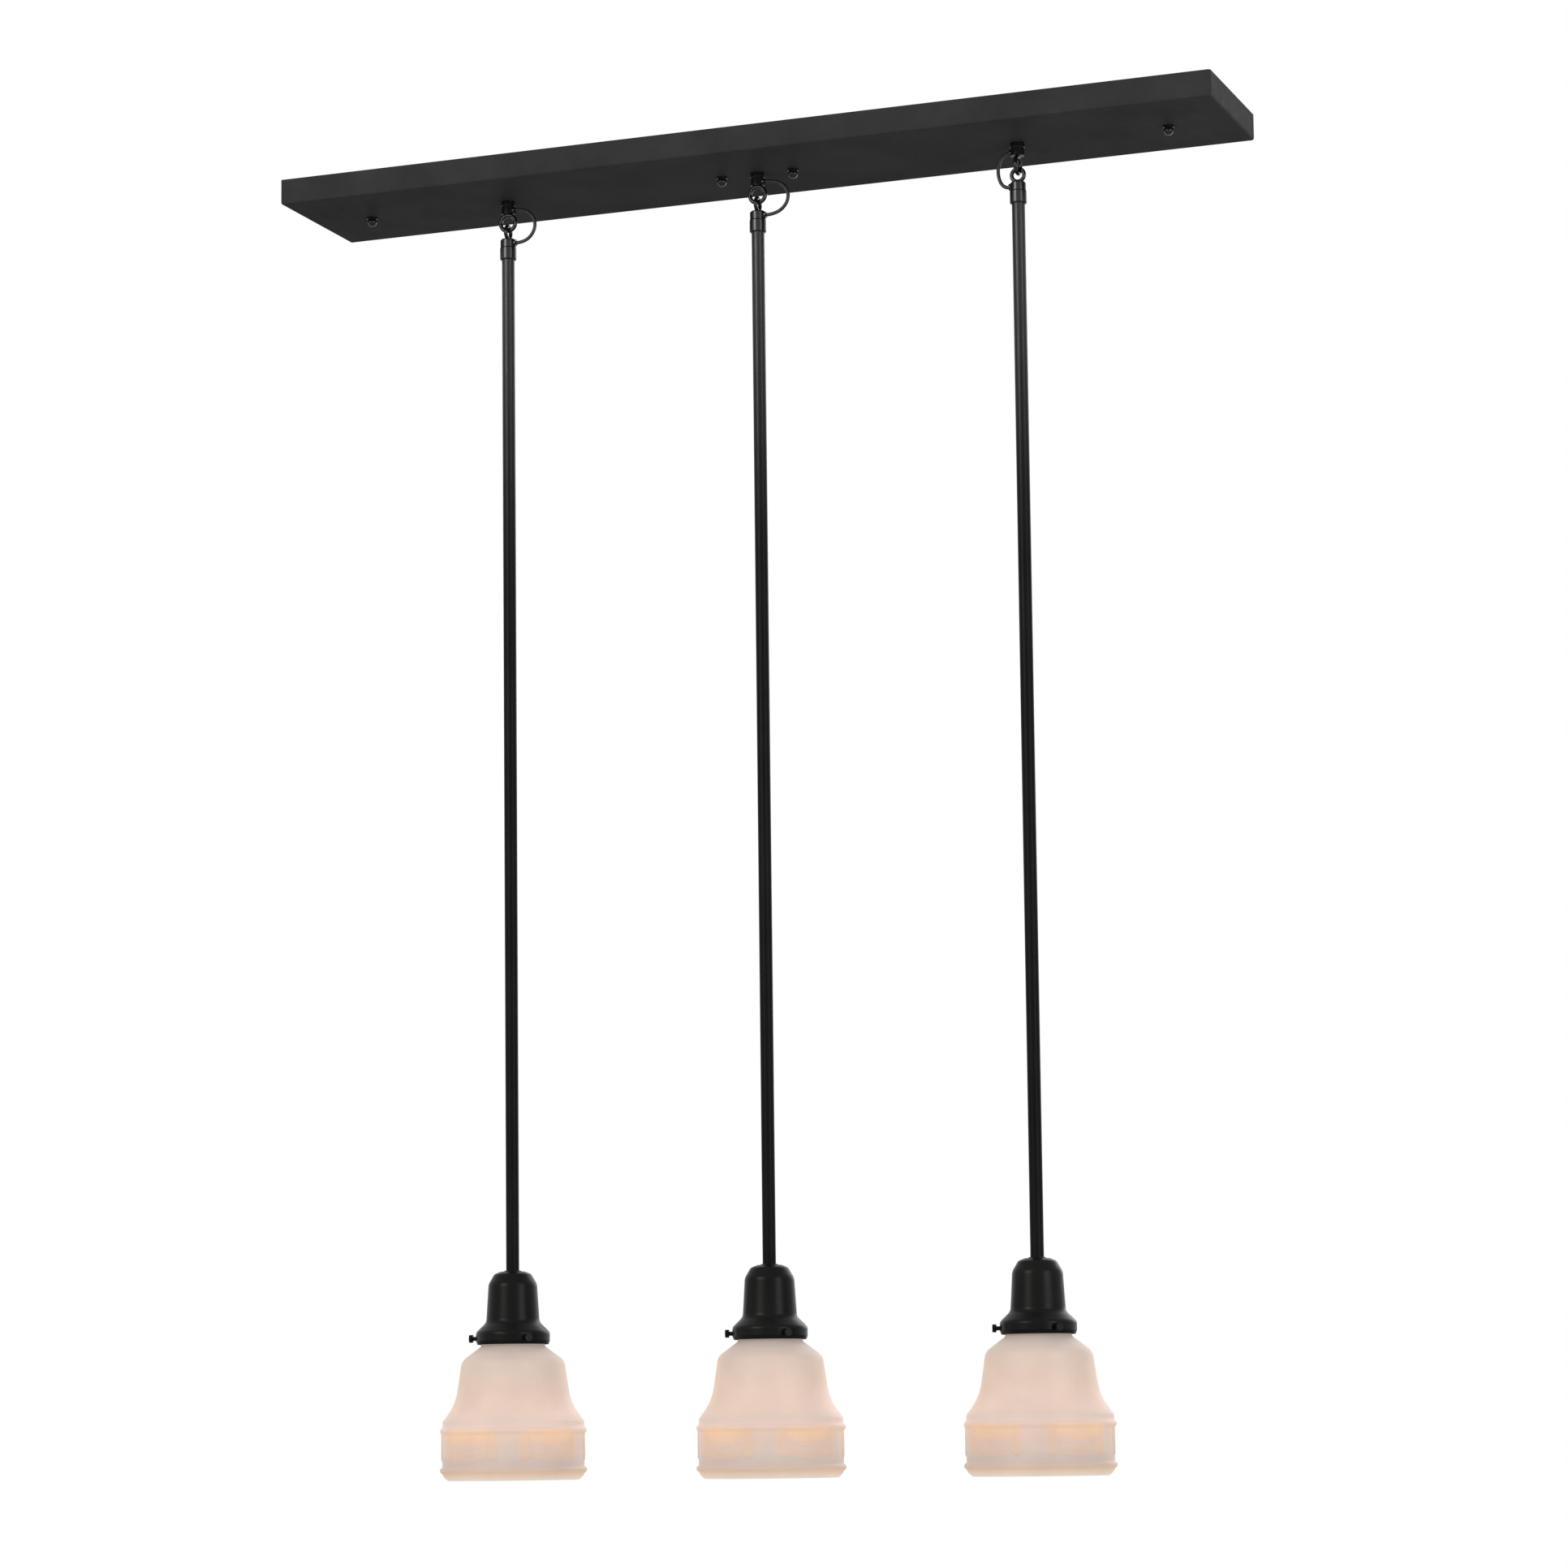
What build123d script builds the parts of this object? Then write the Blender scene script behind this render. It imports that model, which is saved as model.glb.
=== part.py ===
from build123d import *
from math import acos, atan2, cos, pi, radians, sin, tan
import os

# Island pendant: a long ceiling canopy that carries three rods, each hung on two interlocked
# loops, each with a cup holder, a socket, a bulb and an opal glass shade.
# Millimetres. The ceiling is z = 0, x runs along the canopy, y away from the viewer, z up.

# ---- canopy: a folded steel pan, open towards the ceiling ----
canopy_length = 838.0
canopy_width = 140.0
canopy_height = 22.0
canopy_wall = 1.2
canopy_bend = 2.2

# ---- mounting strap on the ceiling and what it carries ----
strap_length = 780.0
strap_width = 28.0
strap_thick = 2.5
strap_corner = 5.0
inner_stud_spacing = 65.0
outer_stud_spacing = 728.0
stud_dia = 4.1
stud_hole_play = 0.9
jam_nut_flats = 8.7
jam_nut_height = 3.2
ball_nut_dia = 8.4
ball_nut_flange_dia = 9.4
ball_nut_flange = 1.5
ball_nut_height = 8.0
box_slot_spacing = 88.9
box_slot_width = 4.8
box_slot_length = 8.0
anchor_spacing = 640.0
anchor_hole_dia = 5.5
wire_entry_dia = 18.0
ground_screw_x = 62.0
ground_head_dia = 8.4
ground_head_height = 3.0

# ---- hanging points and the two interlocked loops ----
pendant_spacing = 233.0
shank_dia = 9.8
shank_hole_play = 0.4
shank_above_floor = 9.0
stem_bore_dia = 6.6
washer_dia = 19.0
washer_thick = 1.0
lock_nut_flats = 16.0
lock_nut_height = 4.5
collar_dia = 12.0
collar_height = 4.4
collar_chamfer = 0.6
shoulder_dia = 11.4
shoulder_height = 6.6
boss_dia = 6.0
boss_stand = 0.9
upper_ring_r = 7.0
upper_bar_dia = 3.6
lower_ring_r = 5.4
lower_bar_dia = 3.4
ring_sink = 1.0
loop_gap = 0.3
cap_dia = 13.6
cap_height = 7.5
cap_chamfer = 1.2
cap_bore_dia = 8.0
cap_roof = 1.4
spigot_length = 4.5
sleeve_dia = 14.4
sleeve_length = 11.0
sleeve_chamfer = 0.8

# ---- rod ----
rod_dia = 11.1
rod_wall = 1.2
rod_length = 899.0

# ---- shade holder: a spun steel cup with a flared skirt ----
rod_through_holder = 14.0
hub_dia = 14.4
hub_height = 0.9
holder_height = 62.5
holder_wall = 1.2
holder_flat_r = 10.4
holder_dome_r = 15.6
holder_dome_drop = 3.0
holder_top_r = 20.6
holder_top_drop = 11.5
holder_waist_r = 22.6
holder_waist_drop = 43.7
holder_skirt_r = 31.3
holder_skirt_drop = 52.2
holder_lip_r = 30.2
holder_lip_rise = 2.9
holder_dome_round = 4.0
holder_top_round = 9.0
holder_waist_round = 7.0
holder_skirt_round = 4.5
holder_lip_round = 2.5
holder_nut_flats = 17.0
holder_nut_height = 5.0

# ---- socket and bulb (26 mm screw base) ----
socket_hub_drop = 10.0
socket_hub_dia = 21.0
socket_hub_height = 5.0
socket_dia = 34.0
socket_length = 43.0
socket_floor = 4.2
socket_shell_dia = 28.8
socket_shell_wall = 0.9
socket_lip = 2.0
bulb_base_dia = 26.4
bulb_base_wall = 0.8
bulb_base_length = 29.0
bulb_contact_dia = 7.0
bulb_dia = 60.0
bulb_neck_dia = 25.6
bulb_length = 87.0
bulb_wall = 1.0

# ---- thumb screws ----
screw_angles = (195.0, 315.0, 75.0)
screw_rise = 5.2
screw_dia = 3.5
screw_head_dia = 6.6
screw_head_thick = 3.2
screw_reach = 37.4
screw_flutes = 12
screw_flute_r = 0.45
screw_boss_dia = 6.4
screw_boss_depth = 1.4
screw_tip_gap = 0.25

# ---- opal glass shade ----
glass_wall = 3.0
fitter_lip_r = 28.6
fitter_lip_height = 3.0
fitter_lip_round = 1.0
fitter_neck_r = 26.6
fitter_neck_height = 7.5
neck_drop = 1.2
neck_round = 4.0
shoulder_r = 43.4
shoulder_drop = 13.8
shoulder_round = 10.0
bell_r = 46.8
bell_drop = 37.0
bell_round = 12.0
waist_r = 49.3
waist_drop = 50.5
waist_round = 43.0
band_r = 60.0
band_slope = 0.2
flare_drop = 64.8
flare_round = 3.0
upper_rib_drop = 72.5
lower_rib_drop = 105.6
rib_rise = 2.1
rib_half_width = 3.5
mouth_r = 55.5
mouth_turn_drop = 109.7
mouth_round = 5.8
shade_drop = 114.1

# ---- festoon relief on the band: hanging ribbons with drapes between them ----
festoons = 5
festoon_turn = -2.0
ribbon_angle = 13.1
ribbon_width = 10.2
ribbon_drop = 20.5
ribbon_relief = 1.1
drape_start = 8.0
drape_sag = 5.5
drape_depth = 13.0
drape_relief = 0.6

# ---- leads ----
lead_dia = 3.0
lead_hole_play = 0.6
entry_drop = 3.5
loop_reach = (25.7, 28.0, 17.4)
wire_nut_dia = 12.0
wire_nut_tip_dia = 8.0
wire_nut_length = 20.0
lead_run = 27.0
lead_rise = 4.0

# ---- clearances ----
fit = 0.05

# ---- heights that follow from the sizes ----
z_floor = -canopy_height + canopy_wall
z_under = -canopy_height
z_shank_top = z_floor + shank_above_floor
z_collar_low = z_under - collar_height
z_shoulder_low = z_collar_low - shoulder_height
z_upper_wire = z_collar_low - entry_drop
z_upper_ring = z_shoulder_low - upper_ring_r - upper_bar_dia / 2 + ring_sink
z_hinge_upper = z_upper_ring - upper_ring_r
z_hinge_lower = z_hinge_upper + upper_bar_dia / 2 + lower_bar_dia / 2 + loop_gap
z_lower_ring = z_hinge_lower - lower_ring_r
z_cap_top = z_lower_ring - lower_ring_r - lower_bar_dia / 2 + ring_sink
z_lower_wire = z_cap_top - cap_chamfer - boss_dia / 2 + 0.5
z_cap_low = z_cap_top - cap_height
z_rod_top = z_cap_low - spigot_length
z_sleeve_low = z_cap_low - sleeve_length
z_rod_low = z_rod_top - rod_length
z_holder = z_rod_low + rod_through_holder
z_roof = z_holder - hub_height
z_rim = z_holder - holder_height
z_socket = z_holder - socket_hub_drop
z_socket_body = z_socket - socket_hub_height
z_socket_low = z_socket_body - socket_length + socket_hub_height
z_seat = z_socket_body - 1.0 - socket_floor
z_shell_floor = z_seat - socket_shell_wall
z_bulb_seam = z_shell_floor - bulb_base_length
z_screw = z_rim + screw_rise
z_mouth = z_rim - shade_drop

pendants = (
    (-pendant_spacing, 0.0, 1.0, loop_reach[0]),
    (0.0, 0.0, 1.0, loop_reach[1]),
    (pendant_spacing, 90.0, -1.0, loop_reach[2]),
)


def post(radius, top, bottom, x=0.0, y=0.0):
    """Upright round bar between two heights."""
    return Pos(x, y, (top + bottom) / 2) * Cylinder(radius, top - bottom)


def cross_bar(radius, start, end, z):
    """Round bar along x between two places at one height."""
    return Pos((start + end) / 2, 0, z) * Rot(0, 90, 0) * Cylinder(radius, abs(end - start))


def hex_ring(flats, hole, top, bottom, x=0.0):
    """Hexagon nut between two heights."""
    body = extrude(RegularPolygon(flats / 2, 6, major_radius=False), top - bottom)
    return Pos(x, 0, bottom) * body - post(hole / 2, top + 1, bottom - 1, x)


def mitred(points, gap):
    """A polyline moved sideways by a gap, with mitred corners."""
    steps = [Vector(*b) - Vector(*a) for a, b in zip(points, points[1:])]
    normals = [Vector(d.Y, -d.X).normalized() for d in steps]
    moved = []
    for i, p in enumerate(points):
        before = normals[max(i - 1, 0)]
        after = normals[min(i, len(normals) - 1)]
        both = (before + after) * (1 / (1 + before.dot(after)))
        moved.append((p[0] + both.X * gap, p[1] + both.Y * gap))
    return moved


def moved_rounds(points, rounds, gap):
    """Corner radii of the same polyline after it is moved sideways by a gap."""
    out = []
    for a, b, c, r in zip(points, points[1:], points[2:], rounds):
        turn = (b[0] - a[0]) * (c[1] - b[1]) - (b[1] - a[1]) * (c[0] - b[0])
        out.append(max(r + (gap if turn > 0 else -gap), 0.3))
    return out


def spun_wall(points, rounds, wall):
    """Turned shell: an outer outline in (radius, height), rounded, with a constant wall inside."""
    inner = mitred(points, wall)
    outside = FilletPolyline(*points, radius=rounds)
    inside = FilletPolyline(*inner, radius=moved_rounds(points, rounds, wall))
    ends = [Line(points[0], inner[0]), Line(points[-1], inner[-1])]
    return revolve(Plane.XZ * make_face([outside, inside, *ends]), Axis.Z)


def cord(points, radii, dia):
    """Round lead along straight runs joined by tangent arcs."""
    path = FilletPolyline(*points, radius=radii)
    start = Plane(origin=path @ 0, z_dir=path % 0)
    body = sweep(start * Circle(dia / 2), path=path)
    print("lead radii", [round(r, 1) for r in radii], "length", round(path.length, 1))
    print("  volume over section x length", round(body.volume / (path.length * pi * dia**2 / 4), 4))
    return body


def bend_radii(points, most):
    """Arc radius at each inner point: 0.45 of the shorter run over tan(half the turn)."""
    out = []
    for a, b, c in zip(points, points[1:], points[2:]):
        one, two = Vector(*b) - Vector(*a), Vector(*c) - Vector(*b)
        half = radians(one.get_angle(two)) / 2
        out.append(min(0.45 * min(one.length, two.length) / tan(half), most))
    return out


def canopy():
    """Open pan with folded edges, three stem holes and four stud holes."""
    outer = Box(canopy_length, canopy_width, canopy_height)
    outer = fillet(outer.edges().filter_by(Axis.Z) + outer.faces().sort_by(Axis.Z)[0].edges(),
                   canopy_bend)
    inner = Box(canopy_length - 2 * canopy_wall, canopy_width - 2 * canopy_wall, canopy_height)
    inner = fillet(inner.edges().filter_by(Axis.Z) + inner.faces().sort_by(Axis.Z)[0].edges(),
                   canopy_bend - canopy_wall)
    pan = Pos(0, 0, -canopy_height / 2) * (outer - Pos(0, 0, canopy_wall) * inner)
    for x, *_ in pendants:
        pan -= post(shank_dia / 2 + shank_hole_play / 2, 0, z_under - 1, x)
    for x in stud_places():
        pan -= post(stud_dia / 2 + stud_hole_play / 2, 0, z_under - 1, x)
    return pan


def stud_places():
    """The four studs along the strap."""
    inner, outer = inner_stud_spacing / 2, outer_stud_spacing / 2
    return (-outer, -inner, inner, outer)


def mounting_strap():
    """Flat steel strap against the ceiling, with slots, anchor holes and a wire hole."""
    sheet = RectangleRounded(strap_length, strap_width, strap_corner)
    for x in stud_places():
        sheet -= Pos(x, 0) * Circle(stud_dia / 2 + fit)
    for side in (-1, 1):
        slot = SlotOverall(box_slot_length, box_slot_width)
        sheet -= Pos(side * box_slot_spacing / 2, 0) * slot
        sheet -= Pos(side * anchor_spacing / 2, 0) * Circle(anchor_hole_dia / 2)
    sheet -= Circle(wire_entry_dia / 2)
    sheet -= Pos(ground_screw_x, 0) * Circle(stud_dia / 2 + fit)
    return Pos(0, 0, -strap_thick) * extrude(sheet, strap_thick)


def strap_studs():
    """Threaded studs from the strap down into the ball nuts."""
    low = z_under - ball_nut_height + 2.0
    return [post(stud_dia / 2, 0, low, x) for x in stud_places()]


def stud_jam_nuts():
    """Hexagon nuts that lock the studs under the strap."""
    low = -strap_thick - jam_nut_height
    return [hex_ring(jam_nut_flats, stud_dia + 2 * fit, -strap_thick, low, x)
            for x in stud_places()]


def ball_nuts():
    """Domed nuts under the canopy that hold it up on the studs."""
    nuts = []
    for x in stud_places():
        dome_r = ball_nut_dia / 2
        low = z_under - ball_nut_height + dome_r
        nut = post(ball_nut_flange_dia / 2, z_under, z_under - ball_nut_flange, x)
        nut += post(dome_r * 0.86, z_under - ball_nut_flange, low, x)
        nut += Pos(x, 0, low) * Sphere(dome_r)
        nuts.append(nut - post(stud_dia / 2 + fit, z_under + 1, z_under - ball_nut_height + 2.0, x))
    return nuts


def ground_screw():
    """Ground screw under the strap."""
    screw = post(stud_dia / 2, 0, -strap_thick - 0.5, ground_screw_x)
    head = post(ground_head_dia / 2, -strap_thick, -strap_thick - ground_head_height,
                ground_screw_x)
    groove = Pos(ground_screw_x, 0, -strap_thick - ground_head_height) * Box(ground_head_dia, 1, 2)
    return screw + head - groove


def stem_lock_washers():
    """Washers on the canopy floor round the loop shanks."""
    hole = shank_dia / 2 + fit
    top = z_floor + washer_thick
    return [post(washer_dia / 2, top, z_floor, x) - post(hole, top + 1, z_floor - 1, x)
            for x, *_ in pendants]


def stem_lock_nuts():
    """Hexagon nuts that clamp the loop shanks from inside the canopy."""
    low = z_floor + washer_thick
    return [hex_ring(lock_nut_flats, shank_dia + 2 * fit, low + lock_nut_height, low, x)
            for x, *_ in pendants]


def loop_collars():
    """Seating collars between the canopy and the loop shoulders."""
    collars = []
    for x, *_ in pendants:
        ring = post(collar_dia / 2, z_under, z_collar_low, x)
        ring = chamfer(ring.faces().sort_by(Axis.Z)[0].edges(), collar_chamfer)
        collars.append(ring - post(shank_dia / 2 + fit, z_under + 1, z_collar_low - 1, x))
    return collars


def upper_loop(x, turn, side):
    """Fixed loop: threaded hollow shank, shoulder with a lead hole, and the upper ring."""
    body = post(shank_dia / 2, z_shank_top, z_collar_low)
    body += post(shoulder_dia / 2, z_collar_low, z_shoulder_low)
    body += cross_bar(boss_dia / 2, 0, side * (shoulder_dia / 2 + boss_stand), z_upper_wire)
    ring = Rot(0, 0, turn) * Rot(90, 0, 0) * Torus(upper_ring_r, upper_bar_dia / 2)
    body += Pos(0, 0, z_upper_ring) * ring
    hole = lead_dia / 2 + lead_hole_play / 2
    body -= post(stem_bore_dia / 2, z_shank_top + 1, z_upper_wire - hole)
    body -= cross_bar(hole, 0, side * shoulder_dia, z_upper_wire)
    return Pos(x, 0, 0) * body


def lower_loop(x, turn, side):
    """Hanging loop: the lower ring, a cap with a lead hole, and a spigot into the sleeve."""
    cap = post(cap_dia / 2, z_cap_top, z_cap_low)
    cap = chamfer(cap.faces().sort_by(Axis.Z)[-1].edges(), cap_chamfer)
    cap += post(rod_dia / 2, z_cap_low, z_rod_top)
    cap += cross_bar(boss_dia / 2, 0, side * (cap_dia / 2 + boss_stand), z_lower_wire)
    ring = Rot(0, 0, turn + 90) * Rot(90, 0, 0) * Torus(lower_ring_r, lower_bar_dia / 2)
    cap += Pos(0, 0, z_lower_ring) * ring
    hole = lead_dia / 2 + lead_hole_play / 2
    cap -= post(cap_bore_dia / 2, z_cap_top - cap_roof, z_rod_top - 1)
    cap -= cross_bar(hole, 0, side * cap_dia, z_lower_wire)
    return Pos(x, 0, 0) * cap


def coupling(x):
    """Sleeve that joins the lower loop's spigot to the rod."""
    body = post(sleeve_dia / 2, z_cap_low, z_sleeve_low, x)
    body = chamfer(body.edges().filter_by(GeomType.CIRCLE), sleeve_chamfer)
    return body - post(rod_dia / 2 + fit, z_cap_low + 1, z_sleeve_low - 1, x)


def rod(x):
    """Hollow rod from the coupling to the socket."""
    bore = rod_dia / 2 - rod_wall
    return post(rod_dia / 2, z_rod_top, z_rod_low, x) - post(bore, z_rod_top + 1, z_rod_low - 1, x)


def holder_outline():
    """Outer outline of the holder as radius and height, from its roof to its lip."""
    return [
        (rod_dia / 2 + fit, z_roof),
        (holder_flat_r, z_roof),
        (holder_dome_r, z_holder - holder_dome_drop),
        (holder_top_r, z_holder - holder_top_drop),
        (holder_waist_r, z_holder - holder_waist_drop),
        (holder_skirt_r, z_holder - holder_skirt_drop),
        (holder_skirt_r, z_rim + holder_lip_rise),
        (holder_lip_r, z_rim),
    ]


def shade_holder(x):
    """Spun cup with a hub round the rod and three tapped bosses for the thumb screws."""
    rounds = [1.0, holder_dome_round, holder_top_round, holder_waist_round,
              holder_skirt_round, holder_lip_round]
    cup = spun_wall(holder_outline(), rounds, holder_wall)
    hub = post(hub_dia / 2, z_holder, z_roof - holder_wall / 2)
    hub = chamfer(hub.faces().sort_by(Axis.Z)[-1].edges(), hub_height / 2)
    cup += hub - post(rod_dia / 2 + fit, z_holder + 1, z_roof - 5)
    for angle in screw_angles:
        wall = holder_skirt_r - 0.8 * holder_wall
        boss = cross_bar(screw_boss_dia / 2, wall - screw_boss_depth, wall, z_screw)
        cup += Rot(0, 0, angle) * boss
    for angle in screw_angles:
        hole = cross_bar(screw_dia / 2 + fit, fitter_neck_r, holder_skirt_r + 3, z_screw)
        cup -= Rot(0, 0, angle) * hole
    return Pos(x, 0, 0) * cup


def holder_nut(x):
    """Nut on the rod that clamps the holder's roof from inside."""
    top = z_roof - holder_wall
    return hex_ring(holder_nut_flats, rod_dia + 2 * fit, top, top - holder_nut_height, x)


def socket_body(x):
    """Moulded socket body on the end of the rod."""
    body = post(socket_hub_dia / 2, z_socket, z_socket_body)
    body += post(socket_dia / 2, z_socket_body, z_socket_low)
    body = fillet(body.faces().sort_by(Axis.Z)[0].outer_wire().edges(), 1.0)
    body -= post(rod_dia / 2 + fit, z_socket + 1, z_rod_low - 2.0)
    body -= post(socket_shell_dia / 2 + fit, z_seat, z_socket_low - 1)
    return Pos(x, 0, 0) * body


def socket_shell(x):
    """Metal screw shell inside the socket body."""
    low = z_socket_low + socket_lip
    cup = post(socket_shell_dia / 2, z_seat, low)
    return Pos(x, 0, 0) * (cup - post(socket_shell_dia / 2 - socket_shell_wall, z_shell_floor, low - 1))


def bulb_base(x):
    """Metal screw base of the bulb with its centre contact."""
    r, wall = bulb_base_dia / 2, bulb_base_wall
    contact, top = bulb_contact_dia / 2, z_shell_floor
    outline = [
        (0, top), (contact, top), (contact, top - 1.6), (r - 2.5, top - 4.6), (r, top - 7.0),
        (r, z_bulb_seam), (r - wall, z_bulb_seam), (r - wall, top - 7.6), (0, top - 6.4),
    ]
    return Pos(x, 0, 0) * revolve(Plane.XZ * make_face(Polyline(*outline, close=True)), Axis.Z)


def bulb_form(neck, radius, bottom, centre):
    """Pear-shaped solid: a cone from the seam, tangent to a ball."""
    reach = ((z_bulb_seam - centre) ** 2 + neck**2) ** 0.5
    angle = atan2(z_bulb_seam - centre, neck) - acos(radius / reach)
    touch = (radius * cos(angle), centre + radius * sin(angle))
    low = angle / 2 - pi / 4
    middle = (radius * cos(low), centre + radius * sin(low))
    lines = [
        Line((0, z_bulb_seam), (neck, z_bulb_seam)),
        Line((neck, z_bulb_seam), touch),
        ThreePointArc(touch, middle, (0, bottom)),
        Line((0, bottom), (0, z_bulb_seam)),
    ]
    return revolve(Plane.XZ * make_face(lines), Axis.Z)


def bulb_glass(x):
    """Thin glass envelope of the bulb."""
    bottom = z_bulb_seam - bulb_length
    centre = bottom + bulb_dia / 2
    outer = bulb_form(bulb_neck_dia / 2, bulb_dia / 2, bottom, centre)
    inner = bulb_form(bulb_neck_dia / 2 - bulb_wall, bulb_dia / 2 - bulb_wall,
                      bottom + bulb_wall, centre)
    return Pos(x, 0, 0) * (outer - inner)


def thumb_screw(x, angle):
    """Fluted thumb screw that bears on the glass neck under its lip."""
    tip = fitter_neck_r + screw_tip_gap
    shank = cross_bar(screw_dia / 2, tip, screw_reach - 1, z_screw)
    disc = Circle(screw_head_dia / 2)
    for k in range(screw_flutes):
        disc -= Rot(0, 0, 360 * k / screw_flutes) * Pos(screw_head_dia / 2, 0) * Circle(screw_flute_r)
    head = Pos(screw_reach - screw_head_thick, 0, z_screw) * Rot(0, 90, 0)
    head = head * extrude(disc, screw_head_thick)
    return Pos(x, 0, 0) * Rot(0, 0, angle) * (shank + head)


def glass_outline():
    """Outer outline of the glass as radius and height, from under the lip to the mouth."""
    return [
        (fitter_neck_r, z_rim + fitter_neck_height),
        (fitter_neck_r, z_rim - neck_drop),
        (shoulder_r, z_rim - shoulder_drop),
        (bell_r, z_rim - bell_drop),
        (waist_r, z_rim - waist_drop),
        (band_r - band_slope, z_rim - flare_drop),
        (band_r, z_rim - mouth_turn_drop),
        (mouth_r, z_mouth),
    ]


def rib(drop):
    """Low round ridge on the band at one drop below the rim."""
    bar = (rib_rise**2 + rib_half_width**2) / (2 * rib_rise)
    z = z_rim - drop
    ring = Pos(0, 0, z) * Torus(band_r + rib_rise - bar, bar)
    return ring - post(band_r - glass_wall / 2, z + bar + 1, z - bar - 1)


def raised(faces, relief, top, low):
    """Flat shapes, each at its angle, wrapped on the band as a relief of one height."""
    ring = post(band_r + relief, top, low) - post(band_r - glass_wall / 2, top + 1, low - 1)
    pieces = []
    for k in range(festoons):
        for angle, face in faces:
            slab = extrude(Plane.YZ * face, band_r + 5)
            turned = Rot(0, 0, festoon_turn + angle + 360 * k / festoons) * slab
            pieces += (ring & turned).solids()
    return pieces


def festoon_relief():
    """Ribbons beside each plain panel and a drape hanging from ribbon to ribbon."""
    top = z_rim - upper_rib_drop
    low = z_rim - lower_rib_drop
    ribbon = Pos(0, top - ribbon_drop / 2) * Rectangle(ribbon_width, ribbon_drop)
    ribbon += Pos(0, top - ribbon_drop) * Circle(ribbon_width / 2)
    half_turn = 180 / festoons - ribbon_angle
    half = band_r * sin(radians(half_turn))
    start = top - drape_start
    upper = ThreePointArc((-half, start), (0, start - drape_sag), (half, start))
    end = start - drape_depth
    under = ThreePointArc((-half, end), (0, end - drape_sag), (half, end))
    sides = [Line(upper @ 0, under @ 0), Line(upper @ 1, under @ 1)]
    drape = make_face([upper, under, *sides])
    ribbons = raised([(-ribbon_angle, ribbon), (ribbon_angle, ribbon)], ribbon_relief, top, low)
    return ribbons + raised([(180 / festoons, drape)], drape_relief, top, low)


def shade(x):
    """Opal glass shade: fitter lip, bell, ribbed band and turned-in mouth."""
    rounds = [neck_round, shoulder_round, bell_round, waist_round, flare_round, mouth_round]
    body = spun_wall(glass_outline(), rounds, glass_wall)
    top = z_rim + fitter_neck_height + fitter_lip_height
    lip = post(fitter_lip_r, top, top - fitter_lip_height)
    lip = fillet(lip.edges().filter_by(GeomType.CIRCLE), fitter_lip_round)
    body += lip - post(fitter_neck_r - glass_wall, top + 1, top - fitter_lip_height - 1)
    body += rib(upper_rib_drop)
    body += rib(lower_rib_drop)
    for piece in festoon_relief():
        body += piece
    return Pos(x, 0, 0) * body


def loop_wire(x, side, reach):
    """Lead that bypasses the two loops, from the upper boss to the lower boss."""
    start = shoulder_dia / 2 + boss_stand
    end = cap_dia / 2 + boss_stand
    fall = z_upper_wire - z_lower_wire
    route = [
        (start, z_upper_wire),
        ((start + reach) / 2, z_upper_wire),
        (reach - 0.4, z_upper_wire - 0.28 * fall),
        (reach, z_upper_wire - 0.68 * fall),
        ((end + reach) / 2, z_lower_wire),
        (end, z_lower_wire),
    ]
    points = [(x + side * r, 0, z) for r, z in route]
    return cord(points, bend_radii(points, 12.0), lead_dia)


def canopy_lead(x, side):
    """Lead from the upper boss up through the shank to its wire nut."""
    high = z_shank_top + lead_rise
    start = side * (shoulder_dia / 2 + boss_stand)
    points = [(x + start, 0, z_upper_wire), (x, 0, z_upper_wire), (x, 0, high), (x, lead_run, high)]
    return cord(points, [lead_dia, lead_dia], lead_dia)


def wire_nut(x):
    """Fluted twist-on connector at the end of a canopy lead."""
    high = z_shank_top + lead_rise
    cone = Cone(wire_nut_dia / 2, wire_nut_tip_dia / 2, wire_nut_length)
    cone = fillet(cone.edges().filter_by(GeomType.CIRCLE), 0.8)
    return Pos(x, lead_run + wire_nut_length / 2, high) * Rot(-90, 0, 0) * cone


def rod_lead(x, side):
    """Lead from the lower boss down through the rod to the socket."""
    start = side * (cap_dia / 2 + boss_stand)
    points = [(x + start, 0, z_lower_wire), (x, 0, z_lower_wire), (x, 0, z_rod_low - 2.0)]
    return cord(points, [lead_dia], lead_dia)


def save(node, made):
    """Write one named piece, or a group of equal pieces, as a STEP file."""
    solids = made if isinstance(made, list) else [made]
    shape = solids[0] if len(solids) == 1 else Compound(children=solids)
    shape.label = node
    export_step(shape, f"parts/{node}.step")


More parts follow.
